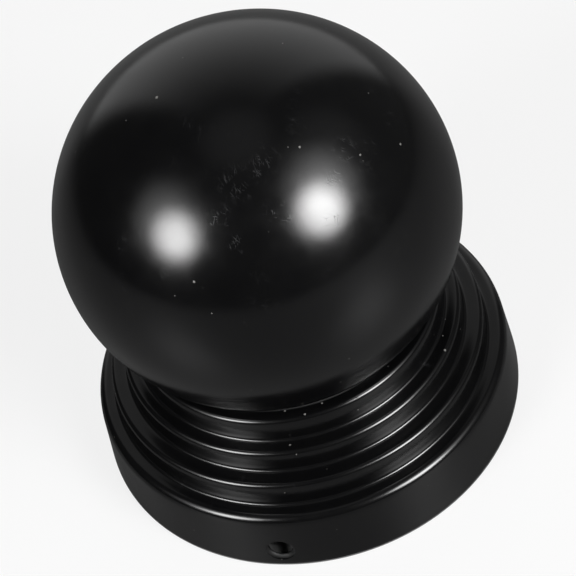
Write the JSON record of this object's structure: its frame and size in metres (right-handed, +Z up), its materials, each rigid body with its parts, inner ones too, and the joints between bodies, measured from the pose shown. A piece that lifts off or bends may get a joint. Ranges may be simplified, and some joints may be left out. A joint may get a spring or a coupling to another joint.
{
  "type": "ball post cap",
  "caption": "Ball finial on a round stepped cap with a hollow skirt that drops over the end of a round post and takes wood screws from the side.",
  "frame": {"origin": "centre of the skirt's rim, on the plane that the cap stands on", "axes": "+Z up the post's axis through the ball, -Y towards the front screw hole"},
  "size_m": [0.1056, 0.1056, 0.1084],
  "materials": {
    "ball_paint": "gloss black paint",
    "cap_paint": "gloss black paint"
  },
  "bodies": {
    "root": {"ball": "ball_paint", "stepped_cap": "cap_paint"}
  },
  "joints": []
}
